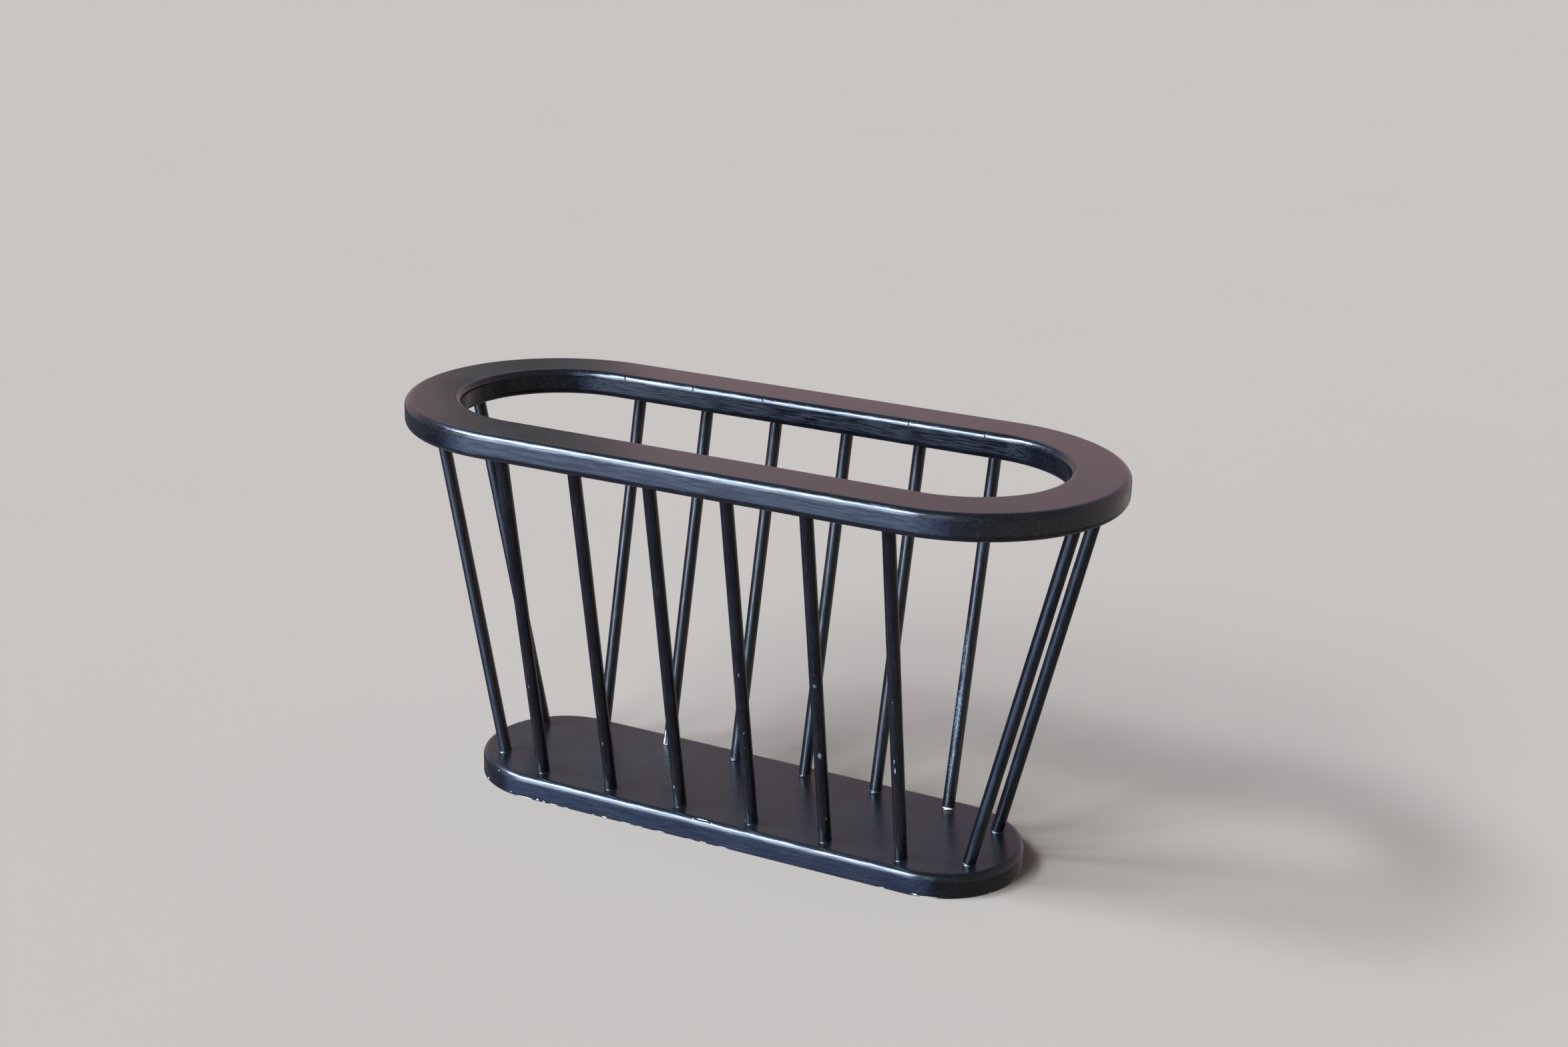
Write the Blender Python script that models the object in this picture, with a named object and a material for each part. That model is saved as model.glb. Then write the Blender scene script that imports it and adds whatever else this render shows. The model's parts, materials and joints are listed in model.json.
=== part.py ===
"""Newspaper rack for a library table.

A flat oval ring rail stands on sixteen slanting round spindles above a smaller oval base board.
Newspapers and magazines stand on the base board, between the two rows of spindles.
Every spindle is glued into a blind socket in the base board and another in the ring.

Frame: +Z up, +X along the rack, front side towards -Y. Origin: centre of the base board's underside.
Units are metres.
"""

import math

import bmesh
import bpy
from mathutils import Vector

# Overall
HEIGHT = 0.280

# Top ring, a racetrack shape with half-round ends
RING_LENGTH = 0.508
RING_WIDTH = 0.2155
RAIL_WIDTH = 0.0388
RING_THICKNESS = 0.018
RING_EDGE_RADIUS = 0.0046

# Base board, a smaller racetrack with half-round ends
BASE_LENGTH = 0.4075
BASE_WIDTH = 0.1155
BASE_THICKNESS = 0.0163
BASE_EDGE_RADIUS = 0.0045
BASE_ARRIS = 0.0005

# Spindles: where their axes cross the base board's top (foot) and the ring's underside (head)
SPINDLE_DIAMETER = 0.0088
SPINDLE_END_CHAMFER = 0.0008
SIDE_SPINDLES = 6
SIDE_PITCH = 0.0547
SIDE_FOOT_Y = 0.0428
SIDE_HEAD_Y = 0.0942
END_FOOT_X = 0.1784
END_HEAD_X = 0.2323
END_FOOT_Y = 0.0270
END_HEAD_Y = 0.0255

# Joints
SOCKET_DEPTH = 0.0115
GLUE_GAP = 0.0003

# Facets
HALF_ROUND_STEPS = 36
EDGE_STEPS = 4
SPINDLE_SIDES = 24
WELD_DISTANCE = 0.000001
SMOOTH_ANGLE = math.radians(35)

RING_UNDERSIDE = HEIGHT - RING_THICKNESS


def clear_scene():
    """Removes every object, so that the model starts from nothing."""
    for item in list(bpy.data.objects):
        bpy.data.objects.remove(item, do_unlink=True)


def new_collection(name):
    """A collection linked under the scene's own."""
    made = bpy.data.collections.new(name)
    bpy.context.scene.collection.children.link(made)
    return made


def satin_paint(name, colour, roughness):
    """Black furniture paint on wood."""
    made = bpy.data.materials.new(name)
    made.use_nodes = True
    shader = made.node_tree.nodes["Principled BSDF"]
    shader.inputs["Base Color"].default_value = (*colour, 1.0)
    shader.inputs["Roughness"].default_value = roughness
    shader.inputs["Metallic"].default_value = 0.0
    made.diffuse_color = (*colour, 1.0)
    return made


def racetrack(length, width):
    """Outline points of a racetrack, anticlockwise: a straight front and back with half-round ends."""
    radius = width / 2
    centre = length / 2 - radius
    points = []
    for side in (1, -1):
        for step in range(HALF_ROUND_STEPS + 1):
            angle = math.pi * (step / HALF_ROUND_STEPS - 0.5)
            points.append((side * (centre + radius * math.cos(angle)), side * radius * math.sin(angle)))
    return points


def outline_curve(name, outlines):
    """A filled flat curve from one outer outline and any holes in it."""
    curve = bpy.data.curves.new(name, "CURVE")
    curve.dimensions = "2D"
    curve.fill_mode = "BOTH"
    for points in outlines:
        spline = curve.splines.new("POLY")
        spline.points.add(len(points) - 1)
        for target, (x, y) in zip(spline.points, points):
            target.co = (x, y, 0.0, 1.0)
        spline.use_cyclic_u = True
    return curve


def board_from_curve(name, curve, height, collection):
    """Turns a curve into a welded mesh object whose middle plane is at the given height."""
    guide = bpy.data.objects.new(name + "_outline", curve)
    collection.objects.link(guide)
    guide.location.z = height
    bpy.context.view_layer.update()
    evaluated = guide.evaluated_get(bpy.context.evaluated_depsgraph_get())
    mesh = bpy.data.meshes.new_from_object(evaluated)
    mesh.name = name
    board = bpy.data.objects.new(name, mesh)
    board.matrix_world = guide.matrix_world
    collection.objects.link(board)
    bpy.data.objects.remove(guide, do_unlink=True)

    edit = bmesh.new()
    edit.from_mesh(mesh)
    bmesh.ops.remove_doubles(edit, verts=edit.verts, dist=WELD_DISTANCE)
    bmesh.ops.recalc_face_normals(edit, faces=edit.faces)
    edit.to_mesh(mesh)
    edit.free()
    return board


def rim_edges(edit, height):
    """The outline edges of a board's flat face at one height."""
    found = []
    for edge in edit.edges:
        level = all(abs(vertex.co.z - height) < WELD_DISTANCE for vertex in edge.verts)
        if level and edge.calc_face_angle(0.0) > SMOOTH_ANGLE:
            found.append(edge)
    return found


def round_edges(edit, edges, radius, steps):
    """Rounds edges to a radius, or chamfers them if there is one step."""
    bmesh.ops.bevel(edit, geom=edges, offset=radius, segments=steps, profile=0.5, affect="EDGES")


def top_ring(collection, paint):
    """The open ring rail, rounded on all four edges."""
    outer = racetrack(RING_LENGTH, RING_WIDTH)
    inner = racetrack(RING_LENGTH - 2 * RAIL_WIDTH, RING_WIDTH - 2 * RAIL_WIDTH)
    curve = outline_curve("top_ring_outline", (outer, inner))
    curve.extrude = RING_THICKNESS / 2 - RING_EDGE_RADIUS
    curve.bevel_depth = RING_EDGE_RADIUS
    curve.bevel_resolution = EDGE_STEPS - 1
    curve.offset = -RING_EDGE_RADIUS
    ring = board_from_curve("top_ring", curve, HEIGHT - RING_THICKNESS / 2, collection)
    ring.data.materials.clear()
    ring.data.materials.append(paint)
    return ring


def base_board(collection, paint):
    """The solid board that the rack stands on: a rounded top edge and a nearly sharp lower one."""
    curve = outline_curve("base_board_outline", (racetrack(BASE_LENGTH, BASE_WIDTH),))
    curve.extrude = BASE_THICKNESS / 2
    board = board_from_curve("base_board", curve, BASE_THICKNESS / 2, collection)

    edit = bmesh.new()
    edit.from_mesh(board.data)
    bmesh.ops.dissolve_limit(edit, angle_limit=math.radians(1), verts=edit.verts, edges=edit.edges)
    rounded = rim_edges(edit, BASE_THICKNESS / 2)
    round_edges(edit, rounded, BASE_EDGE_RADIUS, EDGE_STEPS)
    arris = rim_edges(edit, -BASE_THICKNESS / 2)
    round_edges(edit, arris, BASE_ARRIS, 1)
    edit.to_mesh(board.data)
    edit.free()
    board.data.materials.clear()
    board.data.materials.append(paint)
    return board


def spindle_axes():
    """Name, foot and head of every spindle's axis."""
    axes = []
    for side, sign in (("front", -1), ("back", 1)):
        for index in range(SIDE_SPINDLES):
            x = (index - (SIDE_SPINDLES - 1) / 2) * SIDE_PITCH
            foot = Vector((x, sign * SIDE_FOOT_Y, BASE_THICKNESS))
            head = Vector((x, sign * SIDE_HEAD_Y, RING_UNDERSIDE))
            axes.append((f"{side}_spindle_{index + 1}", foot, head))
    for end, way in (("left", -1), ("right", 1)):
        for side, sign in (("front", -1), ("back", 1)):
            foot = Vector((way * END_FOOT_X, sign * END_FOOT_Y, BASE_THICKNESS))
            head = Vector((way * END_HEAD_X, sign * END_HEAD_Y, RING_UNDERSIDE))
            axes.append((f"{end}_end_spindle_{side}", foot, head))
    return axes


def rod_mesh(name, diameter, length, chamfer):
    """A round rod along Z, centred on its middle, with chamfered ends if asked."""
    mesh = bpy.data.meshes.new(name)
    edit = bmesh.new()
    bmesh.ops.create_cone(
        edit,
        cap_ends=True,
        segments=SPINDLE_SIDES,
        radius1=diameter / 2,
        radius2=diameter / 2,
        depth=length,
    )
    if chamfer:
        rims = rim_edges(edit, length / 2) + rim_edges(edit, -length / 2)
        round_edges(edit, rims, chamfer, 1)
    edit.to_mesh(mesh)
    edit.free()
    mesh.shade_smooth()
    mesh.set_sharp_from_angle(angle=SMOOTH_ANGLE)
    return mesh


def rod_object(name, mesh, foot, head, collection):
    """Places a rod mesh on the line from foot to head."""
    rod = bpy.data.objects.new(name, mesh)
    collection.objects.link(rod)
    rod.location = (foot + head) / 2
    rod.rotation_mode = "QUATERNION"
    rod.rotation_quaternion = Vector((0, 0, 1)).rotation_difference(head - foot)
    return rod


def spindles_and_sockets(parts, cutters, paint):
    """The spindles, and a slightly larger cutter round each one for the sockets at its two ends."""
    tenons = 2 * SOCKET_DEPTH
    for name, foot, head in spindle_axes():
        kind = "end" if "end_spindle" in name else "side"
        length = (head - foot).length + tenons
        mesh = bpy.data.meshes.get(kind + "_spindle")
        if mesh is None:
            mesh = rod_mesh(kind + "_spindle", SPINDLE_DIAMETER, length - 2 * GLUE_GAP, SPINDLE_END_CHAMFER)
            mesh.materials.append(paint)
        rod_object(name, mesh, foot, head, parts)

        bore = bpy.data.meshes.get(kind + "_socket")
        if bore is None:
            bore = rod_mesh(kind + "_socket", SPINDLE_DIAMETER + 2 * GLUE_GAP, length, 0.0)
        cutter = rod_object(name + "_socket_cutter", bore, foot, head, cutters)
        cutter.hide_render = True
        cutter.display_type = "WIRE"


def drill_sockets(board, cutters):
    """Cuts every spindle's socket into a board."""
    cut = board.modifiers.new("spindle_sockets", "BOOLEAN")
    cut.operation = "DIFFERENCE"
    cut.solver = "EXACT"
    cut.operand_type = "COLLECTION"
    cut.collection = cutters


def smooth_shading(board):
    """Smooth shading on the rounded edges, flat on the faces."""
    board.data.shade_smooth()
    board.data.set_sharp_from_angle(angle=SMOOTH_ANGLE)


def build():
    """Models the whole rack."""
    clear_scene()
    parts = new_collection("newspaper_rack")
    cutters = new_collection("socket_cutters")
    ring = top_ring(parts, satin_paint("ring_paint", (0.013, 0.013, 0.015), 0.32))
    base = base_board(parts, satin_paint("base_paint", (0.012, 0.012, 0.014), 0.30))
    spindles_and_sockets(parts, cutters, satin_paint("spindle_paint", (0.012, 0.013, 0.014), 0.36))
    for board in (ring, base):
        drill_sockets(board, cutters)
        smooth_shading(board)


build()
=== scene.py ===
"""Looks of the newspaper rack: a painted oval ring on sixteen slanting spindles above an oval base board.

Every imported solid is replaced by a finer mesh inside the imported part's box, with the small things that paint
and use leave on wood: softened edges, collars of paint where a spindle enters a board, open grain, chips.
Units are metres, +Z up, the front towards -Y.
"""

import json
import math

import bmesh
import bpy
import numpy as np
from mathutils import Matrix, Vector

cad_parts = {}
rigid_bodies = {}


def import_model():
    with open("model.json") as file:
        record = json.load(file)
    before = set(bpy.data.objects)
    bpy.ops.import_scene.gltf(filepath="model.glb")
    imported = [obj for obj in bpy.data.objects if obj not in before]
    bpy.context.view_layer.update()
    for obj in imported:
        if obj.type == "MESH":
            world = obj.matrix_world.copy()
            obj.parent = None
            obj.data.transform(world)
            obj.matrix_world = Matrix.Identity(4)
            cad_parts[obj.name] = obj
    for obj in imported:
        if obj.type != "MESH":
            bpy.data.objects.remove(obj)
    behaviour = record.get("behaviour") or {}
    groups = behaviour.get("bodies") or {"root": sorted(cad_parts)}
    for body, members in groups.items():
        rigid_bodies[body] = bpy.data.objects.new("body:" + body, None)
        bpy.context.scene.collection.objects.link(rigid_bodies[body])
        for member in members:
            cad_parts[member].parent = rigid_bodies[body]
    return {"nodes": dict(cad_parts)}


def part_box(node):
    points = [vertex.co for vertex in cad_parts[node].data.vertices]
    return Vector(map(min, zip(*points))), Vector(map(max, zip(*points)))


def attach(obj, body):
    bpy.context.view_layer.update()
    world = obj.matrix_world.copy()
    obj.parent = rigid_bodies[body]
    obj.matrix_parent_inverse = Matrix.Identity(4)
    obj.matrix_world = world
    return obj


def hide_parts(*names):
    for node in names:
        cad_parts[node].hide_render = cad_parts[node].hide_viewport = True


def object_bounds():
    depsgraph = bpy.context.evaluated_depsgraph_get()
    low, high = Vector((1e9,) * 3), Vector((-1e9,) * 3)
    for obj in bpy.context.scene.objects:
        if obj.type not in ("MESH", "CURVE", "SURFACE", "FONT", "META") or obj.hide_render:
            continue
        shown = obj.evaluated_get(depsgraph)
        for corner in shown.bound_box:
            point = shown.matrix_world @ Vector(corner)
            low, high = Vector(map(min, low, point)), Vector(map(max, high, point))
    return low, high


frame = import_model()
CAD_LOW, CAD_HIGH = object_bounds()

MM = 0.001
MICRON = 0.000001

# Edges and sockets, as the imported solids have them
RING_EDGE_RADIUS = 4.6 * MM
BASE_EDGE_RADIUS = 4.5 * MM
BASE_ARRIS = 0.5 * MM
SOCKET_GAP = 0.3 * MM
TENON_CHAMFER = 0.8 * MM

# How far past the straight a vertex still counts as on it
OVER_STRAIGHT = 0.01 * MM

# How finely the meshes are drawn
RING_STEP = 2.0 * MM
BASE_STEP = 0.7 * MM
HALF_ROUND_STEPS = 96
EDGE_STEPS = 10
SUPPORT = 0.35 * MM
SPINDLE_SIDES = 40
SPINDLE_STEP = 1.3 * MM
SOCKET_SIDES = 48
SMOOTH_ANGLE = math.radians(40)

# Handwork: how unevenly the edges are rounded, as a share, how far the boards' sides wander, and how many
# waves of each size go round a board
EDGE_UNEVEN = 0.05
RING_WANDER = 0.05 * MM
BASE_WANDER = 0.04 * MM
RIPPLE_WAVES = (3, 5, 8, 13, 21, 34)

# The base board's side: rows of vertices in from it on the underside, and up it, in millimetres, and the
# angles of those round its lower corner
BASE_INSETS = (3.0, 1.6, 1.0, 0.75)
BASE_HEIGHTS = (0.75, 1.0, 1.3, 1.6, 2.0, 2.6, 3.6, 5.0, 7.0, 9.0, 11.0)
BASE_ARRIS_ANGLES = (-90, -60, -30, 0)

# Paint collars where the spindles enter the boards, with rings of vertices at these millimetres from a board
COLLAR_HEIGHTS = (0.02, 0.10, 0.22, 0.40, 0.65, 1.0, 1.6, 2.4)
COLLAR_FALL = 0.42 * MM
COLLAR_MINIMUM = 0.40 * MM
COLLAR_SPREAD = 0.35 * MM
COLLAR_TILT = 0.3
COLLAR_WAVINESS = 0.2

# The spindles' shafts are a little thinner than the solids between the collars, in two slow waves
SHAFT_CLEAR = 5 * MM
SHAFT_THINNER = 0.03 * MM
SHAFT_WAVES = ((0.020 * MM, 19 * MM), (0.015 * MM, 7 * MM))

# Small upright nicks in the back rail's inner top edge, in line with these spindles' feet
NICKED_SPINDLES = ("back_spindle_1", "back_spindle_2", "back_spindle_3", "back_spindle_5", "back_spindle_6")
NICK_WIDTH = 0.7 * MM
NICK_DEPTH = 0.22 * MM
NICK_REACH = 2.2
NICK_STATIONS = 23
NICK_SHARPNESS = 3
NICK_FULLNESS = 1.3

FIRST_SPINDLE_SEED = 100

# How deep the chips are, how quickly they reach that depth, how far past its given size a chip fades out, and
# how ragged its outline is: a share of its width, the lengths of the waves in it, and how far the short waves
# shift from one chip to the next
BASE_CHIP_DEPTH = 0.20 * MM
SPINDLE_CHIP_DEPTH = 0.12 * MM
BASE_CHIP_STEEP = 1.6
SPINDLE_CHIP_STEEP = 1.5
CHIP_THRESHOLD = 0.5
BASE_CHIP_FADE = 1.45
SPINDLE_CHIP_FADE = 1.6
BASE_CHIP_RAGGED = 0.35
SPINDLE_CHIP_RAGGED = 0.25
BASE_RAGGED_WAVES = (0.55 * MM, 0.21 * MM)
SPINDLE_RAGGED_WAVE = 0.6 * MM
BASE_RAGGED_SHIFT = 2.1

# How dull the ring's inner side is, at its left end and from its middle to the right
DULL_LEFT = 0.75
DULL_RIGHT = 1.35

# Chips in the base board, in millimetres: distance round the outline from the middle of the front (to the
# right), distance up the side from the bottom corner, length and height
BASE_CHIPS = (
    (-184, 1.5, 2.5, 1.5),
    (-175, 13.5, 1.0, 1.5),
    (-169, 13.5, 1.0, 1.0),
    (-168, 17.0, 1.5, 1.0),
    (-164, 2.0, 1.5, 1.5),
    (-156, 1.5, 2.0, 1.0),
    (-144, 0.3, 15.0, 1.0),
    (-133, 1.0, 2.0, 1.5),
    (-128, 0.5, 2.0, 1.0),
    (-120, 0.2, 8.0, 0.8),
    (-110, 0.1, 5.0, 0.6),
    (-88, 0.2, 2.0, 0.8),
    (-79, 0.5, 4.0, 0.8),
    (-62, 0.1, 11.0, 0.6),
    (-51, 0.1, 6.0, 0.5),
    (-35, 0.2, 8.0, 0.7),
    (-12, 0.1, 7.0, 0.5),
    (-11, 16.0, 1.5, 0.7),
    (-4, 16.5, 9.5, 0.4),
    (-2, 0.2, 6.0, 0.8),
    (3, 16.0, 1.0, 0.7),
    (13, 0.2, 9.0, 0.6),
    (130, 0.1, 5.0, 0.7),
    (153, 1.0, 3.0, 2.0),
    (162, 0.2, 19.0, 1.1),
    (205, 0.2, 4.0, 0.8),
    (231, 0.1, 9.0, 0.7),
    (268, 14.0, 2.5, 1.5),
    (324, 17.5, 9.0, 0.6),
    (344, 0.1, 12.0, 0.8),
    (391, 0.2, 5.0, 0.8),
    (425, 0.1, 16.0, 0.7),
    (471, 0.3, 6.0, 0.9),
    (-441, 0.1, 8.0, 0.6),
    (-422, 17.5, 1.5, 1.2),
    (-398, 0.2, 12.0, 0.8),
    (-371, 16.0, 2.5, 1.5),
    (-352, 0.1, 7.0, 0.8),
    (-291, 0.3, 5.0, 1.0),
    (-252, 0.1, 10.0, 0.7),
    (-214, 0.3, 4.0, 0.9),
)

# Chips in the spindles, in millimetres and degrees: distance up the spindle from the base board's top, angle
# round it (0 faces the front, 90 the right), length, width, and how far the paint is worn, 1 to bare wood. Not
# all
# are chips: the wide marks 0.3 to 0.4 mm up at the feet, all but back_spindle_6's, are painted highlights on the
# paint collars, front_spindle_4's mark 3 mm up is a painted highlight, and front_spindle_5's mark 72 mm up is a
# real dent with a painted highlight as its pale colour. For these, the last number is how strongly they are
# painted.
SPINDLE_CHIPS_AND_HIGHLIGHTS = {
    "front_spindle_1": ((74, 0, 3.5, 1.0, 0.50), (11, -35, 2.5, 0.7, 0.50)),
    "front_spindle_2": ((40, 0, 2.5, 1.0, 0.65),),
    "front_spindle_3": ((17, -15, 4.0, 0.8, 0.75), (7, -55, 4.5, 0.7, 0.55), (2, -50, 1.5, 1.2, 0.55)),
    "front_spindle_4": (
        (122, 15, 4.0, 2.0, 0.45),
        (76, 20, 2.0, 1.2, 0.60),
        (64, 20, 1.5, 1.2, 0.50),
        (12, 40, 1.5, 1.0, 0.50),
        (3, -45, 3.0, 1.8, 0.60),
    ),
    "front_spindle_5": (
        (135, 10, 2.0, 1.2, 0.40),
        (126, 10, 4.0, 2.0, 0.50),
        (72, 20, 5.0, 2.6, 0.58),
        (21, 45, 2.0, 1.2, 0.60),
        (10, 0, 1.5, 1.0, 0.55),
        (0.4, -20, 0.8, 5.0, 0.50),
    ),
    "front_spindle_6": ((127, 0, 1.5, 1.2, 0.60), (81, -5, 7.0, 0.7, 0.85), (74, 0, 4.5, 0.8, 0.85)),
    "back_spindle_1": ((33, 160, 3.0, 1.1, 1.00),),
    "back_spindle_2": ((2, -30, 5.5, 2.2, 1.00), (7, -30, 6.5, 1.0, 1.00), (118, 150, 4.0, 0.9, 0.90)),
    "back_spindle_3": ((0.3, -20, 0.8, 4.0, 0.60), (61, 175, 8.0, 0.9, 0.90)),
    "back_spindle_4": ((0.3, -60, 0.8, 2.0, 0.60), (150, -165, 3.0, 1.1, 0.90)),
    "back_spindle_5": ((0.3, -5, 0.8, 7.5, 0.55), (5, -20, 2.0, 1.0, 0.50), (47, 140, 2.5, 1.2, 1.00)),
    "back_spindle_6": (
        (0.4, 10, 1.1, 9.0, 1.00),
        (10, -10, 2.0, 1.0, 0.55),
        (28, -10, 34.0, 4.0, 0.34),
        (40, 5, 9.0, 1.4, 0.46),
        (59, 0, 6.0, 2.0, 0.50),
        (66, -10, 60.0, 5.0, 0.38),
        (77, -15, 9.0, 2.4, 0.50),
        (100, -20, 5.0, 1.6, 0.46),
        (112, -25, 50.0, 4.0, 0.34),
        (30, 170, 4.0, 1.0, 1.00),
    ),
    "left_end_spindle_front": ((0.4, -30, 0.9, 5.0, 0.50), (88, -120, 3.0, 1.0, 1.00)),
    "left_end_spindle_back": ((52, -100, 6.0, 0.9, 0.90),),
    "right_end_spindle_front": ((0.3, -10, 0.8, 7.5, 0.55), (63, 135, 3.0, 1.0, 1.00)),
    "right_end_spindle_back": ((0.3, -5, 0.8, 7.5, 0.55), (105, 120, 7.0, 0.9, 0.90)),
}


def ripple(distance, period, seed):
    """A smooth repeatable wave between -1 and 1 along a distance that closes on itself after a period."""
    chance = np.random.default_rng(seed)
    turns = 2 * math.pi * np.asarray(distance) / period
    total = np.zeros_like(turns)
    for count in RIPPLE_WAVES:
        total += chance.normal() * np.sin(count * turns + chance.uniform(0, 2 * math.pi)) / math.sqrt(count)
    return np.clip(total / 2, -1, 1)


# ---------------------------------------------------------------------------------------------- meshes


def racetrack_stations(half_straight, radius, step, extra=()):
    """Sections round a racetrack, anticlockwise from the left end of the front straight.

    Returns each section's centre on the long axis, its outward direction, its distance round the outline from
    the middle of the front, positive to the right, and the outline's whole length.
    """
    count = max(1, round(2 * half_straight / step))
    front = np.linspace(-half_straight, half_straight, count + 1)
    back = np.unique(np.concatenate([front, np.asarray(extra, float)]))[::-1]
    turn = np.linspace(-math.pi / 2, math.pi / 2, HALF_ROUND_STEPS + 1)[1:-1]
    arc = math.pi * radius

    right = np.full(len(turn), half_straight)
    centre = np.concatenate([front, right, back, -right])
    outward_x = np.concatenate([np.zeros(len(front)), np.cos(turn), np.zeros(len(back)), -np.cos(turn)])
    outward_y = np.concatenate([-np.ones(len(front)), np.sin(turn), np.ones(len(back)), -np.sin(turn)])
    along = np.concatenate([
        front,
        half_straight + radius * (turn + math.pi / 2),
        2 * half_straight + arc - back,
        3 * half_straight + arc + radius * (turn + math.pi / 2),
    ])
    perimeter = 4 * half_straight + 2 * arc
    along = np.where(along > perimeter / 2, along - perimeter, along)
    return centre, np.stack([outward_x, outward_y], 1), along, perimeter


def quarter(radius, centre_r, centre_z, first_angle):
    """A rounded corner of a section: arrays of distance out and height, one row for each station."""
    angles = first_angle + np.linspace(0, math.pi / 2, EDGE_STEPS + 1)
    out = centre_r[:, None] + radius[:, None] * np.cos(angles)
    up = centre_z[:, None] + radius[:, None] * np.sin(angles)
    return out, up


def swept_mesh(name, stations, out, up, closed):
    """Joins the stations' sections into one closed mesh. An open section gets a flat face above and below."""
    centre, outward = stations[0], stations[1]
    count, points = out.shape
    places = np.empty((count, points, 3))
    places[..., 0] = centre[:, None] + outward[:, :1] * out
    places[..., 1] = outward[:, 1:] * out
    places[..., 2] = up

    faces = []
    spans = points if closed else points - 1
    for i in range(count):
        near, far = i * points, (i + 1) % count * points
        for j in range(spans):
            k = (j + 1) % points
            faces.append((near + j, far + j, far + k, near + k))
    if not closed:
        faces.append([i * points for i in reversed(range(count))])
        faces.append([i * points + points - 1 for i in range(count)])

    mesh = bpy.data.meshes.new(name)
    mesh.from_pydata(places.reshape(-1, 3).tolist(), [], faces)
    mesh.validate()
    return mesh


def store(mesh, name, values):
    """Keeps one number for each vertex under a name that the materials read."""
    kept = mesh.attributes.new(name, "FLOAT", "POINT")
    kept.data.foreach_set("value", np.asarray(values, np.float32).ravel())


def piece_of(name, mesh, material, node):
    """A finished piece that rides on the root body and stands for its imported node."""
    made = bpy.data.objects.new(name, mesh)
    bpy.context.scene.collection.objects.link(made)
    mesh.materials.append(material)
    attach(made, "root")
    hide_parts(node)
    return made


def chip_amount(along, up, perimeter, chips):
    """How far each point of a grid is inside a chip, 0 to 1, with a ragged outline."""
    amount = np.zeros(np.broadcast(along, up).shape)
    long_wave, short_wave = BASE_RAGGED_WAVES
    for index, (place, rise, length, height) in enumerate(chips):
        apart = (along - place * MM + perimeter / 2) % perimeter - perimeter / 2
        long_part = BASE_CHIP_RAGGED * np.sin(apart / long_wave + index)
        ragged = 1 + long_part * np.cos(apart / short_wave + BASE_RAGGED_SHIFT * index)
        reach = np.hypot(apart / (length / 2 * MM), (up - rise * MM) / (height / 2 * MM * ragged))
        amount = np.maximum(amount, np.clip(BASE_CHIP_FADE - reach, 0, 1))
    return amount


# ---------------------------------------------------------------------------------------------- sockets


class Spindle:
    """Where one packed spindle is: its axis, radius and the way round it."""

    def __init__(self, name):
        self.name = name
        points = np.array([vertex.co for vertex in frame["nodes"][name].data.vertices])
        middle = (points[:, 2].min() + points[:, 2].max()) / 2
        low = points[points[:, 2] < middle]
        high = points[points[:, 2] > middle]
        self.up = high.mean(0) - low.mean(0)
        self.up /= np.linalg.norm(self.up)
        self.right = np.cross(self.up, (0.0, -1.0, 0.0))
        self.right /= np.linalg.norm(self.right)
        self.front = np.cross(self.right, self.up)
        reach = (points - low.mean(0)) @ self.up
        away = (points - low.mean(0)) - reach[:, None] * self.up
        self.radius = np.linalg.norm(away, axis=1).max()
        self.start = low.mean(0) + self.up * reach.min()
        self.length = reach.max() - reach.min()


def socket_cutters(spindles):
    """A rod round each spindle, slightly wider and longer, for cutting its two sockets."""
    group = bpy.data.collections.new("socket_cutters")
    bpy.context.scene.collection.children.link(group)
    for spindle in spindles:
        mesh = bpy.data.meshes.new(spindle.name + "_socket")
        edit = bmesh.new()
        reach = spindle.radius + SOCKET_GAP
        depth = spindle.length + 2 * SOCKET_GAP
        bmesh.ops.create_cone(
            edit, cap_ends=True, segments=SOCKET_SIDES, radius1=reach, radius2=reach, depth=depth
        )
        edit.to_mesh(mesh)
        edit.free()
        cutter = bpy.data.objects.new(mesh.name, mesh)
        group.objects.link(cutter)
        cutter.location = spindle.start + spindle.up * spindle.length / 2
        cutter.rotation_mode = "QUATERNION"
        cutter.rotation_quaternion = Vector((0, 0, 1)).rotation_difference(Vector(spindle.up))
    return group


def drill(mesh, cutters):
    """The mesh with every socket cut into it, smooth except at its sharp edges."""
    blank = bpy.data.objects.new("blank", mesh)
    bpy.context.scene.collection.objects.link(blank)
    cut = blank.modifiers.new("sockets", "BOOLEAN")
    cut.operation = "DIFFERENCE"
    cut.solver = "EXACT"
    cut.operand_type = "COLLECTION"
    cut.collection = cutters
    bpy.context.view_layer.update()
    drilled = bpy.data.meshes.new_from_object(blank.evaluated_get(bpy.context.evaluated_depsgraph_get()))
    drilled.name = mesh.name + "_drilled"
    bpy.data.objects.remove(blank)
    drilled.shade_smooth()
    drilled.set_sharp_from_angle(angle=SMOOTH_ANGLE)
    drilled.materials.clear()
    return drilled


def remove_cutters(cutters):
    """Deletes the cutters, which are no part of the rack."""
    for cutter in list(cutters.objects):
        bpy.data.objects.remove(cutter)
    bpy.data.collections.remove(cutters)


# ---------------------------------------------------------------------------------------------- boards


def nick_depths(centre, outward, nicks):
    """How deep the nicks in the back rail are at each station."""
    depth = np.zeros(len(centre))
    for nick in nicks:
        depth = np.maximum(depth, np.exp(-NICK_SHARPNESS * ((centre - nick) / NICK_WIDTH) ** 2))
    return depth * np.isclose(outward[:, 1], 1.0) * NICK_DEPTH


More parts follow.
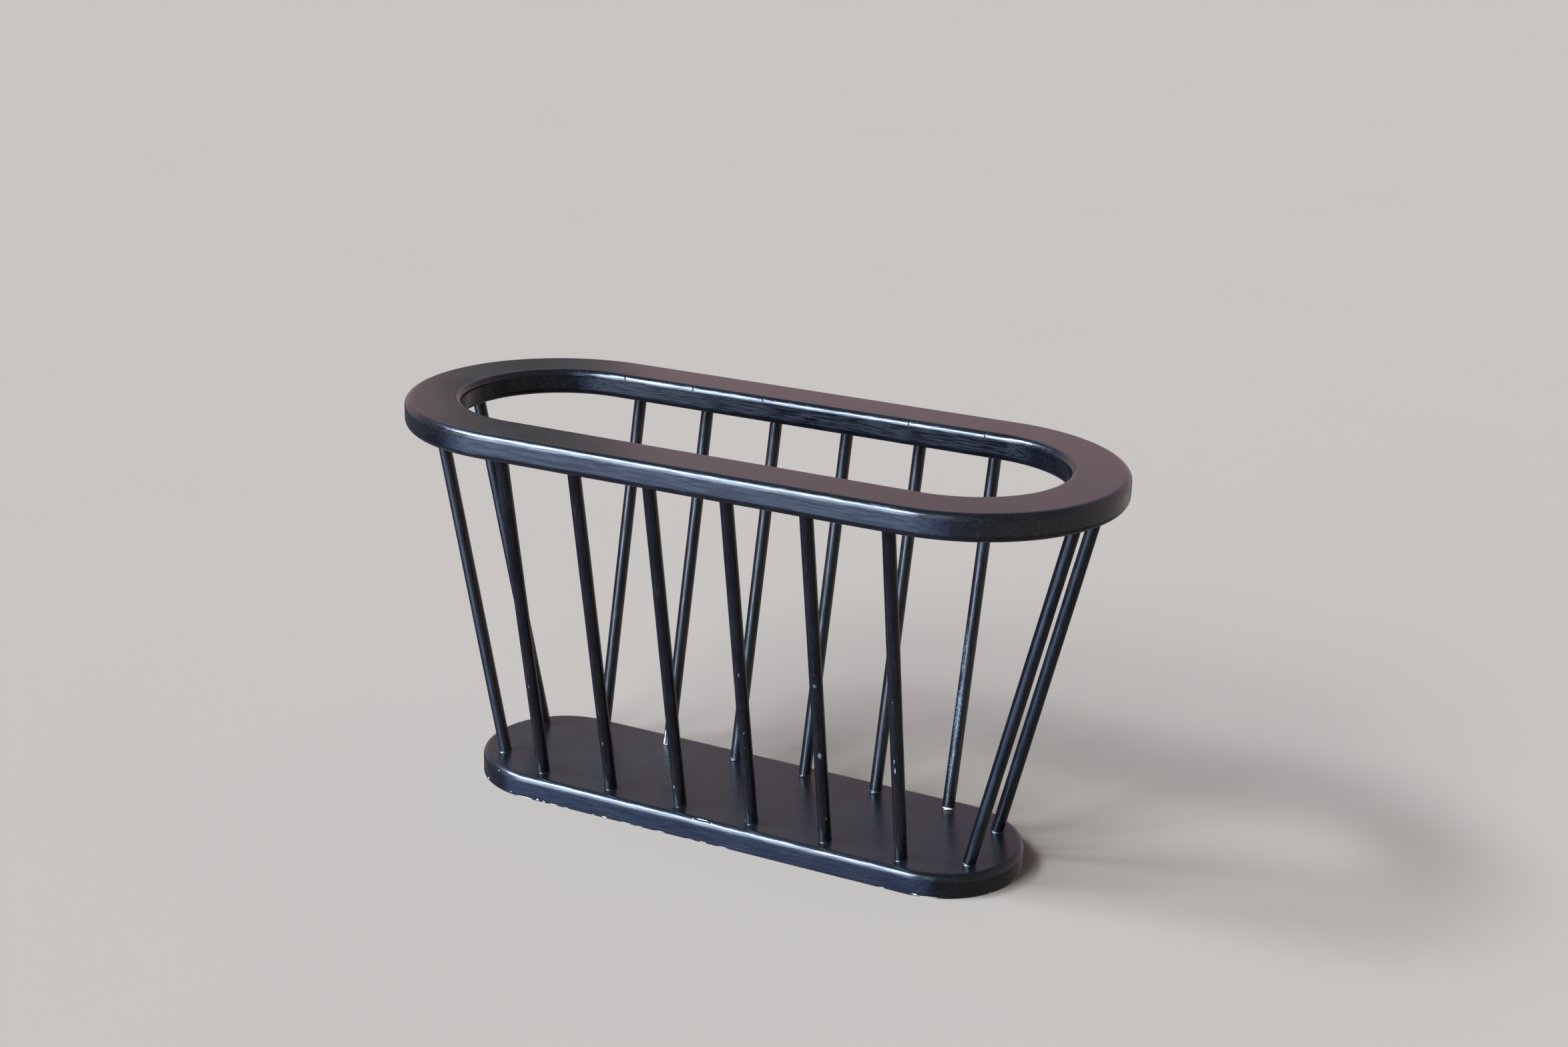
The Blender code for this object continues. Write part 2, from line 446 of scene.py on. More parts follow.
def ring_mesh():
    """The oval ring: a flat rail, rounded on its four edges by hand, so never quite evenly."""
    low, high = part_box("top_ring")
    outer = high.y
    half_straight = high.x - outer
    inner = min(
        abs(vertex.co.y)
        for vertex in frame["nodes"]["top_ring"].data.vertices
        if abs(vertex.co.x) < half_straight + OVER_STRAIGHT
    )
    nicks = [Spindle(name).start[0] for name in NICKED_SPINDLES]
    around = np.linspace(-NICK_REACH, NICK_REACH, NICK_STATIONS) * NICK_WIDTH
    extra = np.concatenate([nick + around for nick in nicks])
    extra = extra[np.abs(extra) < half_straight]
    stations = racetrack_stations(half_straight, outer, RING_STEP, extra)
    centre, outward, along, perimeter = stations

    def radius(seed):
        return RING_EDGE_RADIUS * (1 + EDGE_UNEVEN * ripple(along, perimeter, seed))

    ones = np.ones(len(along))
    bottom, top = low.z * ones, high.z * ones
    outer_side = outer - RING_WANDER * (1 + ripple(along, perimeter, 1))
    inner_side = inner + RING_WANDER * (1 + ripple(along, perimeter, 2))

    # Each corner: its radius, side and level, which way its side faces, which way is into the rail, and its
    # first angle
    corners = (
        (radius(3), outer_side, bottom, 1, 1, -math.pi / 2),
        (radius(4), outer_side, top, 1, -1, 0.0),
        (radius(5), inner_side, top, -1, -1, math.pi / 2),
        (radius(6), inner_side, bottom, -1, 1, math.pi),
    )
    out, up = [], []
    for r, side, level, facing, inward, first in corners:
        last = first + math.pi / 2
        arc_out, arc_up = quarter(r, side - facing * r, level + inward * r, first)
        out += [
            arc_out[:, :1] + math.sin(first) * SUPPORT,
            arc_out,
            arc_out[:, -1:] - math.sin(last) * SUPPORT,
        ]
        up += [
            arc_up[:, :1] - math.cos(first) * SUPPORT,
            arc_up,
            arc_up[:, -1:] + math.cos(last) * SUPPORT,
        ]
    out, up = np.concatenate(out, 1), np.concatenate(up, 1)

    # The nicks cut the third corner's arc, deepest in its middle
    points = EDGE_STEPS + 3
    depth = nick_depths(centre, outward, nicks)[:, None]
    angles = math.pi / 2 + np.linspace(0, math.pi / 2, EDGE_STEPS + 1)
    depth = depth * np.clip(np.sin((angles - math.pi / 2) * 2) * NICK_FULLNESS, 0, 1)
    arc = slice(2 * points + 1, 3 * points - 1)
    out[:, arc] -= depth * np.cos(angles)
    up[:, arc] -= depth * np.sin(angles)

    # Duller paint from near the end of the third corner's arc to most of the way round the fourth's
    dull = np.zeros(out.shape)
    duller = np.interp(centre, (-half_straight, 0.0), (DULL_LEFT, DULL_RIGHT))
    first_dull, past_dull = 3 * points - 3, 4 * points - 4
    dull[:, first_dull:past_dull] = duller[:, None]

    mesh = swept_mesh("top_ring_fine", stations, out, up, closed=True)
    store(mesh, "wear_and_highlight", np.zeros(out.shape))
    store(mesh, "dull", dull)
    return mesh


def base_mesh():
    """The base board: a rounded top edge, and a nearly sharp lower one that has lost paint in chips."""
    low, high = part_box("base_board")
    outer = high.y
    half_straight = high.x - outer
    stations = racetrack_stations(half_straight, outer, BASE_STEP)
    _, _, along, perimeter = stations
    radius = BASE_EDGE_RADIUS * (1 + EDGE_UNEVEN * ripple(along, perimeter, 11))
    side = outer - BASE_WANDER * (1 + ripple(along, perimeter, 12))
    ones = np.ones(len(along))

    # The section runs from the underside round the lower corner, up the side and over the rounded top edge
    out, up = [], []
    for inset in BASE_INSETS:
        out.append(side - inset * MM)
        up.append(low.z * ones)
    for angle in np.radians(BASE_ARRIS_ANGLES):
        out.append(side - BASE_ARRIS * (1 - math.cos(angle)))
        up.append((low.z + BASE_ARRIS * (1 + math.sin(angle))) * ones)
    for height in BASE_HEIGHTS:
        out.append(side)
        up.append((low.z + height * MM) * ones)
    out, up = np.stack(out, 1), np.stack(up, 1)
    arc_out, arc_up = quarter(radius, side - radius, high.z - radius, 0.0)
    out = np.concatenate([out, arc_out, arc_out[:, -1:] - SUPPORT, arc_out[:, -1:] - 4 * SUPPORT], 1)
    up = np.concatenate([up, arc_up, high.z * np.ones((len(along), 2))], 1)

    # Chips go in square to the section, and never below the underside or above the top
    steps = np.hypot(np.diff(out, axis=1), np.diff(up, axis=1))
    rise = np.concatenate([np.zeros((len(along), 1)), np.cumsum(steps, 1)], 1)
    amount = chip_amount(along[:, None], rise - BASE_INSETS[0] * MM, perimeter, BASE_CHIPS)
    depth = BASE_CHIP_DEPTH * np.clip(amount * BASE_CHIP_STEEP - CHIP_THRESHOLD, 0, 1)
    square_out = np.gradient(up, axis=1)
    square_up = -np.gradient(out, axis=1)
    size = np.hypot(square_out, square_up)
    out = out - depth * square_out / size
    up = np.clip(up - depth * square_up / size, low.z, high.z)

    mesh = swept_mesh("base_board_fine", stations, out, up, closed=False)
    store(mesh, "wear_and_highlight", amount)
    return mesh


# ---------------------------------------------------------------------------------------------- spindles


def collar(turn, phases, waves):
    """How far the paint spreads round a spindle, in a slightly uneven circle."""
    tilted = COLLAR_TILT * np.sin(turn + phases[0])
    uneven = 0.5 + tilted + COLLAR_WAVINESS * np.sin(waves * turn + phases[1])
    return COLLAR_MINIMUM + COLLAR_SPREAD * uneven


def spindle_wear_and_highlights(spindle, reach, turn, foot):
    """How far the paint is worn at each vertex of a spindle, 0 to 1, and how strongly the spindle table's
    painted highlights show there.
    """
    amount = np.zeros(reach.shape)
    for index, (place, angle, length, width, wear) in enumerate(SPINDLE_CHIPS_AND_HIGHLIGHTS.get(spindle.name, ())):
        across = (turn - math.radians(angle) + math.pi) % (2 * math.pi) - math.pi
        apart = reach - foot - place * MM
        ragged = 1 + SPINDLE_CHIP_RAGGED * np.sin(apart / SPINDLE_RAGGED_WAVE + index)
        inside = np.hypot(apart / (length / 2 * MM), across * spindle.radius / (width / 2 * MM * ragged))
        amount = np.maximum(amount, np.clip(SPINDLE_CHIP_FADE - inside, 0, 1) * wear)
    return amount


def spindle_mesh(spindle, floor, ceiling, seed):
    """A dowel whose paint spreads in a thin collar where it enters the base board and the ring.

    Rings of vertices are square to the axis along the shaft and level with the boards near them.
    """
    turn = np.arange(SPINDLE_SIDES) * 2 * math.pi / SPINDLE_SIDES
    away = np.cos(turn)[:, None] * spindle.front + np.sin(turn)[:, None] * spindle.right
    chance = np.random.default_rng(seed)
    phases = chance.uniform(0, 2 * math.pi, 6)
    foot_collar = collar(turn, phases[0:2], 2)
    head_collar = collar(turn, phases[2:4], 3)

    def level(height, radius):
        """How far up the axis each side of the rod crosses a height."""
        return (height - spindle.start[2] - away[:, 2] * radius) / spindle.up[2]

    def square(place):
        """The same place up the axis for every side."""
        return np.full(SPINDLE_SIDES, place)

    plain = square(spindle.radius)
    rings = [
        (square(0.0), plain - TENON_CHAMFER),
        (square(TENON_CHAMFER), plain),
        (level(floor, plain), plain),
    ]
    for height in COLLAR_HEIGHTS:
        wide = plain + foot_collar * math.exp(-height * MM / COLLAR_FALL)
        rings.append((level(floor + height * MM, wide), wide))
    shaft_start = level(floor, plain).max() + SHAFT_CLEAR
    shaft_end = level(ceiling, plain).min() - SHAFT_CLEAR
    count = round((shaft_end - shaft_start) / SPINDLE_STEP)
    for place in np.linspace(shaft_start, shaft_end, count + 1):
        swell = -SHAFT_THINNER
        for (height, length), phase in zip(SHAFT_WAVES, phases[4:]):
            swell += height * math.sin(place / length + phase)
        rings.append((square(place), plain + swell))
    for height in reversed(COLLAR_HEIGHTS):
        wide = plain + head_collar * math.exp(-height * MM / COLLAR_FALL)
        rings.append((level(ceiling - height * MM, wide), wide))
    rings += [
        (level(ceiling, plain), plain),
        (square(spindle.length - TENON_CHAMFER), plain),
        (square(spindle.length), plain - TENON_CHAMFER),
    ]

    reach = np.stack([ring[0] for ring in rings])
    radius = np.stack([ring[1] for ring in rings])
    foot = (floor - spindle.start[2]) / spindle.up[2]
    amount = spindle_wear_and_highlights(spindle, reach, turn, foot)
    outside_collars = radius < spindle.radius + COLLAR_MINIMUM / 2
    chipped = np.clip(amount * SPINDLE_CHIP_STEEP - CHIP_THRESHOLD, 0, 1)
    radius = radius - SPINDLE_CHIP_DEPTH * chipped * outside_collars

    places = spindle.start + reach[..., None] * spindle.up + radius[..., None] * away
    count = len(rings)
    faces = []
    for i in range(count - 1):
        for j in range(SPINDLE_SIDES):
            k = (j + 1) % SPINDLE_SIDES
            near, far = i * SPINDLE_SIDES, (i + 1) * SPINDLE_SIDES
            faces.append((near + j, near + k, far + k, far + j))
    faces.append(list(reversed(range(SPINDLE_SIDES))))
    faces.append([(count - 1) * SPINDLE_SIDES + j for j in range(SPINDLE_SIDES)])

    mesh = bpy.data.meshes.new(spindle.name + "_fine")
    mesh.from_pydata(places.reshape(-1, 3).tolist(), [], faces)
    mesh.shade_smooth()
    mesh.set_sharp_from_angle(angle=SMOOTH_ANGLE)
    # Worn paint, and the painted highlights from the spindle table, for the paint to read
    store(mesh, "wear_and_highlight", amount)

    # The grain runs along the dowel, so its paint reads coordinates that lie along the axis
    grain = mesh.attributes.new("grain", "FLOAT_VECTOR", "POINT")
    shift = chance.uniform(0.5, 3.0, 3)
    local = np.stack([reach, radius * np.cos(turn), radius * np.sin(turn)], -1) + shift
    grain.data.foreach_set("vector", local.astype(np.float32).ravel())
    return mesh


# ---------------------------------------------------------------------------------------------- materials


class Tree:
    """Short calls for wiring one node tree."""

    def __init__(self, tree):
        self.tree = tree

    def add(self, kind, inputs=None, **settings):
        """A node with its settings, and inputs that are either values or other nodes' outputs."""
        node = self.tree.nodes.new(kind)
        for name, value in settings.items():
            setattr(node, name, value)
        for name, value in (inputs or {}).items():
            if isinstance(value, bpy.types.NodeSocket):
                self.tree.links.new(value, node.inputs[name])
            else:
                node.inputs[name].default_value = value
        return node

    def math(self, operation, first, second=0.0, third=0.0):
        """One Math node's output."""
        return self.add("ShaderNodeMath", {0: first, 1: second, 2: third}, operation=operation).outputs[0]

    def vector(self, operation, first, second):
        """One Vector Math node's output."""
        return self.add("ShaderNodeVectorMath", {0: first, 1: second}, operation=operation).outputs[0]

    def noise(self, place, stretch, detail=2.0, distortion=0.0):
        """Noise of about one wave a unit after the place is stretched, 0 to 1."""
        scaled = self.vector("MULTIPLY", place, stretch)
        node = self.add(
            "ShaderNodeTexNoise", {"Vector": scaled, "Scale": 1.0, "Detail": detail, "Distortion": distortion}
        )
        return node.outputs["Fac"]

    def ramp(self, value, low, high, to_low=0.0, to_high=1.0, smooth=True):
        """Maps a range of values onto another, level outside it."""
        return self.add(
            "ShaderNodeMapRange",
            {"Value": value, "From Min": low, "From Max": high, "To Min": to_low, "To Max": to_high},
            interpolation_type="SMOOTHSTEP" if smooth else "LINEAR",
        ).outputs["Result"]

    def blend(self, factor, first, second):
        """A mix of two colours, or of a colour and a socket."""
        node = self.add("ShaderNodeMix", {"Factor": factor}, data_type="RGBA")
        for index, value in ((MIX_FIRST, first), (MIX_SECOND, second)):
            if isinstance(value, bpy.types.NodeSocket):
                self.tree.links.new(value, node.inputs[index])
            else:
                node.inputs[index].default_value = (*value, 1.0)
        return node.outputs[MIX_RESULT]


# A Mix node's colour sockets
MIX_FIRST = 6
MIX_SECOND = 7
MIX_RESULT = 2

# Waves a metre in the paint and the wood under it, along the grain and both ways across it
PORE_WAVES = (120, 1900, 1900)
FIBRE_WAVES = (40, 700, 700)
STREAK_WAVES = (95, 1300, 1300)
STREAKED_WAVES = (45, 130, 130)
SHEEN_WAVES = (60, 1100, 1100)
BRUSH_WAVES = (14, 260, 260)
PEEL_WAVES = (850, 850, 850)
CLOUD_WAVES = (22, 22, 22)
MOTTLE_WAVES = (160, 160, 160)
RAGGED_WAVES = (900, 2600, 2600)
DUST_CELLS = 75.0

# Where noise, from 0 to 1, turns from one thing to another
BETWEEN_PORES = (0.30, 0.44)
IN_STREAKS = (0.50, 0.64)
IN_STREAKED = (0.40, 0.60)
IN_SHEEN_LINES = (0.40, 0.62)
IN_CLOUDS = (0.35, 0.70)

# How level a face is, as its normal's height, when its grain is all there and when it shows least
LEVEL_FACE = (0.70, 0.97)
LEVEL_GRAIN_LOSS = -0.8

# A chip's stored wear value where bare wood starts and is full, the same for the primer round it, and how much
# noise is added to it. The same ranges make the spindle table's painted highlights pale, mostly in the primer's
# colour.
BARE_WOOD = (0.62, 0.72)
PRIMER_AND_HIGHLIGHT_RANGE = (0.30, 0.46)
CHIP_NOISE = 0.9

# Specks of dust: the share of cells without one, a speck's greatest size in cells, and how much it covers
DUSTLESS = 0.55
DUST_REACH = 0.028
DUST_COVER = 0.5

# How strongly each thing colours the coat
PORE_TINT = 0.35
SCUFF_TINT = 0.60
PRIMER_AND_HIGHLIGHT_TINT = 0.85

# What each thing adds to the roughness
MOTTLE_ROUGH = 0.10
CLOUD_ROUGH = 0.08
PORE_ROUGH = 0.05
SCUFF_ROUGH = 0.12
WORN_ROUGH = 0.45

# The strength of the paint's shine, and what dullness and the sheen's lines do to it
FULL_SHINE = 0.5
DULL_SHINE = -0.28
LINES_SHINE = 0.24

# Relief in microns; the pores' depth is given with each paint
FIBRE_RELIEF = 20.0
BRUSH_RELIEF = 30.0
STREAK_RELIEF = 14.0
PEEL_RELIEF = 1.0
WORN_RELIEF = -70.0

COAT_THIN = (0.0022, 0.0025, 0.0033)
COAT_THICK = (0.0048, 0.0052, 0.0062)
PORE_COLOUR = (0.0012, 0.0013, 0.0016)
SCUFF_COLOUR = (0.010, 0.012, 0.015)
DUST_COLOUR = (0.16, 0.16, 0.165)
PRIMER_AND_HIGHLIGHT_COLOUR = (0.095, 0.125, 0.145)
WOOD_DARK = (0.46, 0.33, 0.18)
WOOD_PALE = (0.80, 0.70, 0.52)


def black_paint(name, grain_source, roughness, pore_depth, dusty):
    """Black satin paint on open-grained wood, worn through where a mesh's stored values say so, and with the
    painted highlights that those values also carry.

    grain_source is "Object" for the boards, whose grain runs along X, or "grain" for the spindles. The depth
    of the pores is in microns, and dusty is how much rougher level faces are.
    """
    material = bpy.data.materials.new(name)
    material.use_nodes = True
    tree = Tree(material.node_tree)
    shader = material.node_tree.nodes["Principled BSDF"]
    if grain_source == "Object":
        place = tree.add("ShaderNodeTexCoord").outputs["Object"]
    else:
        place = tree.add("ShaderNodeAttribute", attribute_name=grain_source).outputs["Vector"]

    # The grain shows less on level faces, which are sanded and painted more thickly
    normal = tree.add("ShaderNodeTexCoord").outputs["Normal"]
    steep = tree.add("ShaderNodeSeparateXYZ", {0: normal}).outputs[2]
    level = tree.ramp(tree.math("ABSOLUTE", steep), *LEVEL_FACE)
    grain_depth = tree.math("MULTIPLY_ADD", level, LEVEL_GRAIN_LOSS, 1.0)

    between_pores = tree.ramp(tree.noise(place, PORE_WAVES, 1.0), *BETWEEN_PORES)
    pores = tree.math("SUBTRACT", 1.0, between_pores)
    fibres = tree.noise(place, FIBRE_WAVES, 2.0, 0.3)
    streaks = tree.ramp(tree.noise(place, STREAK_WAVES, 2.0), *IN_STREAKS)
    streaked = tree.ramp(tree.noise(place, STREAKED_WAVES, 1.0), *IN_STREAKED)
    streaks = tree.math("MULTIPLY", streaks, streaked)
    scuffed = tree.math("MULTIPLY", streaks, grain_depth)
    lines = tree.ramp(tree.noise(place, SHEEN_WAVES, 2.0), *IN_SHEEN_LINES)
    brush = tree.noise(place, BRUSH_WAVES, 1.0)
    peel = tree.noise(place, PEEL_WAVES, 1.0)
    cloud = tree.noise(place, CLOUD_WAVES, 3.0)
    mottle = tree.noise(place, MOTTLE_WAVES, 2.0)

    wear_and_highlight = tree.add("ShaderNodeAttribute", attribute_name="wear_and_highlight").outputs["Fac"]
    ragged = tree.math("SUBTRACT", tree.noise(place, RAGGED_WAVES, 3.0), 0.5)
    edge = tree.math("MULTIPLY_ADD", ragged, CHIP_NOISE, wear_and_highlight)
    worn = tree.ramp(edge, *BARE_WOOD)
    primer_and_highlight = tree.ramp(edge, *PRIMER_AND_HIGHLIGHT_RANGE)

    # Colour: a near-black with a cold cast, in clouds of thin and thick coat, then dust, primer and bare wood;
    # the primer and wood colours also paint the highlights listed in the spindle table
    coat = tree.blend(tree.ramp(cloud, *IN_CLOUDS), COAT_THIN, COAT_THICK)
    coat = tree.blend(tree.math("MULTIPLY", pores, PORE_TINT), coat, PORE_COLOUR)
    coat = tree.blend(tree.math("MULTIPLY", scuffed, SCUFF_TINT), coat, SCUFF_COLOUR)
    cells = tree.add("ShaderNodeTexVoronoi", {"Vector": place, "Scale": DUST_CELLS}, feature="F1")
    picked = tree.add("ShaderNodeSeparateColor", {0: cells.outputs["Color"]}).outputs[0]
    reach = tree.ramp(picked, DUSTLESS, 1.0, 0.0, DUST_REACH, smooth=False)
    dust = tree.math("MULTIPLY", tree.math("LESS_THAN", cells.outputs["Distance"], reach), DUST_COVER)
    coat = tree.blend(dust, coat, DUST_COLOUR)
    # Primer round the chips, and in the same pale colour the painted highlights on the spindles' collars and
    # marks
    coat = tree.blend(tree.math("MULTIPLY", primer_and_highlight, PRIMER_AND_HIGHLIGHT_TINT), coat, PRIMER_AND_HIGHLIGHT_COLOUR)
    wood = tree.blend(fibres, WOOD_DARK, WOOD_PALE)
    colour = tree.blend(worn, coat, wood)

    # Roughness: satin, rougher in the pores, in the scuffed streaks and on bare wood
    sheen = tree.math("MULTIPLY_ADD", tree.math("SUBTRACT", mottle, 0.5), MOTTLE_ROUGH, roughness)
    sheen = tree.math("MULTIPLY_ADD", tree.math("SUBTRACT", cloud, 0.5), CLOUD_ROUGH, sheen)
    sheen = tree.math("MULTIPLY_ADD", pores, PORE_ROUGH, sheen)
    sheen = tree.math("MULTIPLY_ADD", scuffed, SCUFF_ROUGH, sheen)
    sheen = tree.math("MULTIPLY_ADD", level, dusty, sheen)
    sheen = tree.math("MULTIPLY_ADD", worn, WORN_ROUGH, sheen)

    # Shine: broken along the grain on upright faces, and weaker where the "dull" values say so
    dull = tree.add("ShaderNodeAttribute", attribute_name="dull").outputs["Fac"]
    shine = tree.math("MULTIPLY_ADD", dull, DULL_SHINE, FULL_SHINE)
    broken = tree.math("MULTIPLY", tree.math("SUBTRACT", 0.5, lines), grain_depth)
    shine = tree.math("MULTIPLY_ADD", broken, LINES_SHINE, shine)

    height = tree.math("MULTIPLY", between_pores, pore_depth)
    height = tree.math("MULTIPLY_ADD", fibres, FIBRE_RELIEF, height)
    height = tree.math("MULTIPLY_ADD", brush, BRUSH_RELIEF, height)
    height = tree.math("MULTIPLY_ADD", streaks, STREAK_RELIEF, height)
    height = tree.math("MULTIPLY", height, grain_depth)
    height = tree.math("MULTIPLY_ADD", peel, PEEL_RELIEF, height)
    height = tree.math("MULTIPLY_ADD", worn, WORN_RELIEF, height)
    bump = tree.add("ShaderNodeBump", {"Height": height, "Distance": MICRON, "Strength": 1.0})

    links = material.node_tree.links
    links.new(colour, shader.inputs["Base Color"])
    links.new(sheen, shader.inputs["Roughness"])
    links.new(shine, shader.inputs["Specular IOR Level"])
    links.new(bump.outputs["Normal"], shader.inputs["Normal"])
    shader.inputs["IOR"].default_value = 1.5
    return material


def floor_material():
    """A plain pale matt floor."""
    material = bpy.data.materials.new("pale_floor")
    material.use_nodes = True
    tree = Tree(material.node_tree)
    shader = material.node_tree.nodes["Principled BSDF"]
    place = tree.add("ShaderNodeTexCoord").outputs["Object"]
    cloud = tree.noise(place, FLOOR_WAVES, 4.0)
    colour = tree.blend(cloud, FLOOR_COLOUR, [FLOOR_LIFT * part for part in FLOOR_COLOUR])
    material.node_tree.links.new(colour, shader.inputs["Base Color"])
    shader.inputs["Roughness"].default_value = 0.9
    shader.inputs["Specular IOR Level"].default_value = 0.0
    return material


# ---------------------------------------------------------------------------------------------- studio

FLOOR_SIZE = 60.0
FLOOR_DROP = 0.1 * MM
FLOOR_WAVES = (3, 3, 3)
FLOOR_LIFT = 1.02
FLOOR_COLOUR = (0.258, 0.202, 0.148)
BACKDROP_COLOUR = (0.577, 0.556, 0.546)

# Soft lights, as patches of the surrounding sphere: azimuth range (0 is the front, 90 the right), elevation
# range, how soft the sides are, how soft the top and bottom are, all in degrees, and the light's colour
SOFT_LIGHTS = (
    ((-40, -12), (32, 46), 8, 9, (30.0, 38.0, 50.0)),
    ((-72, -44), (40, 50), 6, 3, (78.0, 99.0, 132.0)),
    ((-105, -60), (44, 54), 10, 8, (4.0, 6.0, 11.0)),
    ((-38, -10), (-4, 34), 6, 12, (8.4, 10.6, 14.4)),
    ((-60, -38), (-4, 34), 6, 12, (1.2, 1.6, 2.4)),
    ((3, 11), (-4, 60), 14, 14, (2.4, 3.5, 5.5)),
    ((-50, -1), (-20, -10), 7, 4, (1.40, 1.54, 1.70)),
    ((-60, 12), (-30, -12), 8, 6, (0.58, 0.92, 1.95)),
    ((-156, -142), (22, 34), 3, 5, (0.15, 0.17, 0.15)),
)

# The room round them: a warm light wall at the back with a dark doorway, and darker elsewhere. The doorway is
# a patch like the lights. Each change from one part to another is a range of elevation or azimuth in degrees,
# or for the last one of the direction's y.
ROOM_BACK = (0.64, 0.455, 0.475)
ROOM_BACK_HIGH = (0.40, 0.38, 0.50)
ROOM_DOORWAY = (0.15, 0.17, 0.16)
ROOM_RIGHT = (0.28, 0.25, 0.22)
ROOM_ABOVE = (0.15, 0.13, 0.12)
ROOM_BELOW_LEFT = (0.11, 0.11, 0.16)
ROOM_FAR_BELOW_LEFT = (0.24, 0.23, 0.29)
ROOM_BELOW_RIGHT = (0.18, 0.17, 0.16)
ROOM_LOW_RIGHT = (0.46, 0.44, 0.42)
DOORWAY = ((-150.5, -145.5), (-80.0, 19.5), 1, 2.5)
TO_BACK_HIGH = (20.0, 30.0)
TO_ABOVE = (32.0, 60.0)
TO_LOW_RIGHT = (-27.0, -18.0)
TO_BELOW_LEFT = (-38.0, -26.0)
TO_BELOW_RIGHT = (-20.0, 60.0)
TO_SIDES = (-12.0, 0.0)
FRONT_TO_BACK = (-0.2, 0.5)


def patch_share(tree, azimuth, elevation, sides, levels, soft_side, soft_top):
    """How much a direction is inside a soft-edged patch, 0 to 1."""
    share = 1.0
    for angle, (first, last), soft in ((azimuth, sides, soft_side), (elevation, levels, soft_top)):
        share = tree.math("MULTIPLY", share, tree.ramp(angle, first - soft, first + soft))
        share = tree.math("MULTIPLY", share, tree.ramp(angle, last - soft, last + soft, 1.0, 0.0))
    return share


def studio_world():
    """The room as light, with a plain backdrop in its place where the camera looks past the floor."""
    world = bpy.data.worlds.new("studio")
    world.use_nodes = True
    bpy.context.scene.world = world
    tree = Tree(world.node_tree)
    background = world.node_tree.nodes["Background"]
    direction = tree.add("ShaderNodeTexCoord").outputs["Generated"]
    parts = tree.add("ShaderNodeSeparateXYZ", {0: direction})
    x, y, z = parts.outputs
    azimuth = tree.math("DEGREES", tree.math("ARCTAN2", x, tree.math("MULTIPLY", y, -1.0)))
    elevation = tree.math("DEGREES", tree.math("ARCSINE", z))

    back = tree.blend(tree.ramp(elevation, *TO_BACK_HIGH), ROOM_BACK, ROOM_BACK_HIGH)
    back = tree.blend(patch_share(tree, azimuth, elevation, *DOORWAY), back, ROOM_DOORWAY)
    room = tree.blend(tree.ramp(y, *FRONT_TO_BACK), ROOM_RIGHT, back)
    room = tree.blend(tree.ramp(elevation, *TO_ABOVE), room, ROOM_ABOVE)
    below_left = tree.blend(tree.ramp(elevation, *TO_BELOW_LEFT), ROOM_FAR_BELOW_LEFT, ROOM_BELOW_LEFT)
    below_right = tree.blend(tree.ramp(elevation, *TO_LOW_RIGHT), ROOM_BELOW_RIGHT, ROOM_LOW_RIGHT)
    below = tree.blend(tree.ramp(azimuth, *TO_BELOW_RIGHT), below_left, below_right)
    total = tree.blend(tree.ramp(elevation, *TO_SIDES), below, room)

    for sides, levels, soft_side, soft_top, colour in SOFT_LIGHTS:
        share = patch_share(tree, azimuth, elevation, sides, levels, soft_side, soft_top)
        light = tree.add("ShaderNodeVectorMath", {"Vector": colour, "Scale": share}, operation="SCALE")
        total = tree.vector("ADD", total, light.outputs[0])
    seen = tree.add("ShaderNodeLightPath").outputs["Is Camera Ray"]
    world.node_tree.links.new(tree.blend(seen, total, BACKDROP_COLOUR), background.inputs["Color"])


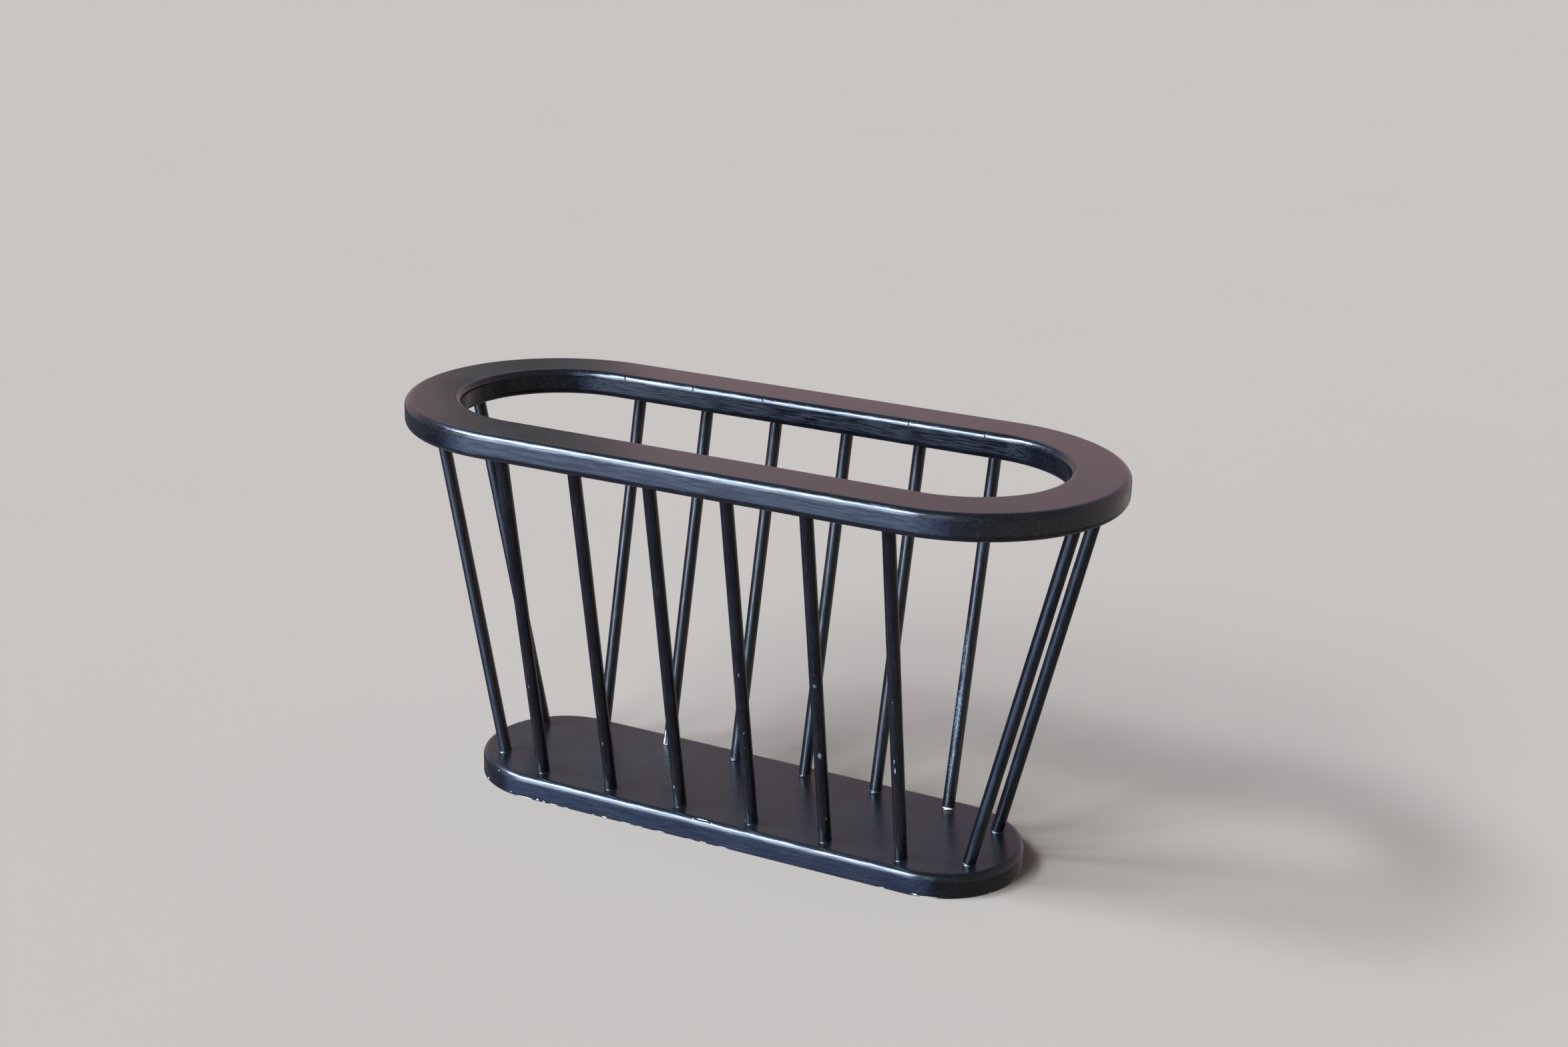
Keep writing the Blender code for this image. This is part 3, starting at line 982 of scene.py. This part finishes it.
def studio_floor():
    """A wide plain floor just under the base board."""
    mesh = bpy.data.meshes.new("floor")
    half = FLOOR_SIZE / 2
    corners = [(-half, -half, 0), (half, -half, 0), (half, half, 0), (-half, half, 0)]
    mesh.from_pydata(corners, [], [(0, 1, 2, 3)])
    mesh.materials.append(floor_material())
    floor = bpy.data.objects.new("floor", mesh)
    bpy.context.scene.collection.objects.link(floor)
    floor.location.z = CAD_LOW.z - FLOOR_DROP
    floor.visible_glossy = False


CAMERA_PLACE = (0.5880, -1.2243, 0.6748)
CAMERA_YAW = math.radians(24.73)
CAMERA_PITCH = math.radians(18.76)
CAMERA_ROLL = math.radians(1.95)
CAMERA_LENS = 49.1
CAMERA_SENSOR = 36.0


def studio_camera():
    """The camera: to the right of the front, looking down at the rack, with a slight roll."""
    data = bpy.data.cameras.new("camera")
    data.lens = CAMERA_LENS
    data.sensor_width = CAMERA_SENSOR
    camera = bpy.data.objects.new("camera", data)
    bpy.context.scene.collection.objects.link(camera)
    turned = Matrix.Rotation(CAMERA_YAW, 4, "Z") @ Matrix.Rotation(math.pi / 2 - CAMERA_PITCH, 4, "X")
    camera.matrix_world = Matrix.Translation(CAMERA_PLACE) @ turned @ Matrix.Rotation(CAMERA_ROLL, 4, "Z")
    bpy.context.scene.camera = camera


# ---------------------------------------------------------------------------------------------- the rack


def build_rack():
    """Every piece of the rack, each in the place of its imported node."""
    names = sorted(name for name in frame["nodes"] if "spindle" in name)
    spindles = [Spindle(name) for name in names]
    ring_paint = black_paint("ring_paint", "Object", roughness=0.17, pore_depth=9.0, dusty=0.0)
    base_paint = black_paint("base_paint", "Object", roughness=0.16, pore_depth=9.0, dusty=0.12)
    dowel_paint = black_paint("dowel_paint", "grain", roughness=0.18, pore_depth=5.0, dusty=0.0)
    cutters = socket_cutters(spindles)
    piece_of("top_ring_painted", drill(ring_mesh(), cutters), ring_paint, "top_ring")
    piece_of("base_board_painted", drill(base_mesh(), cutters), base_paint, "base_board")
    remove_cutters(cutters)

    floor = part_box("base_board")[1].z
    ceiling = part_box("top_ring")[0].z
    for index, spindle in enumerate(spindles):
        mesh = spindle_mesh(spindle, floor, ceiling, FIRST_SPINDLE_SEED + index)
        piece_of(spindle.name + "_painted", mesh, dowel_paint, spindle.name)


build_rack()
studio_world()
studio_floor()
studio_camera()
bpy.context.scene.view_settings.view_transform = "Standard"
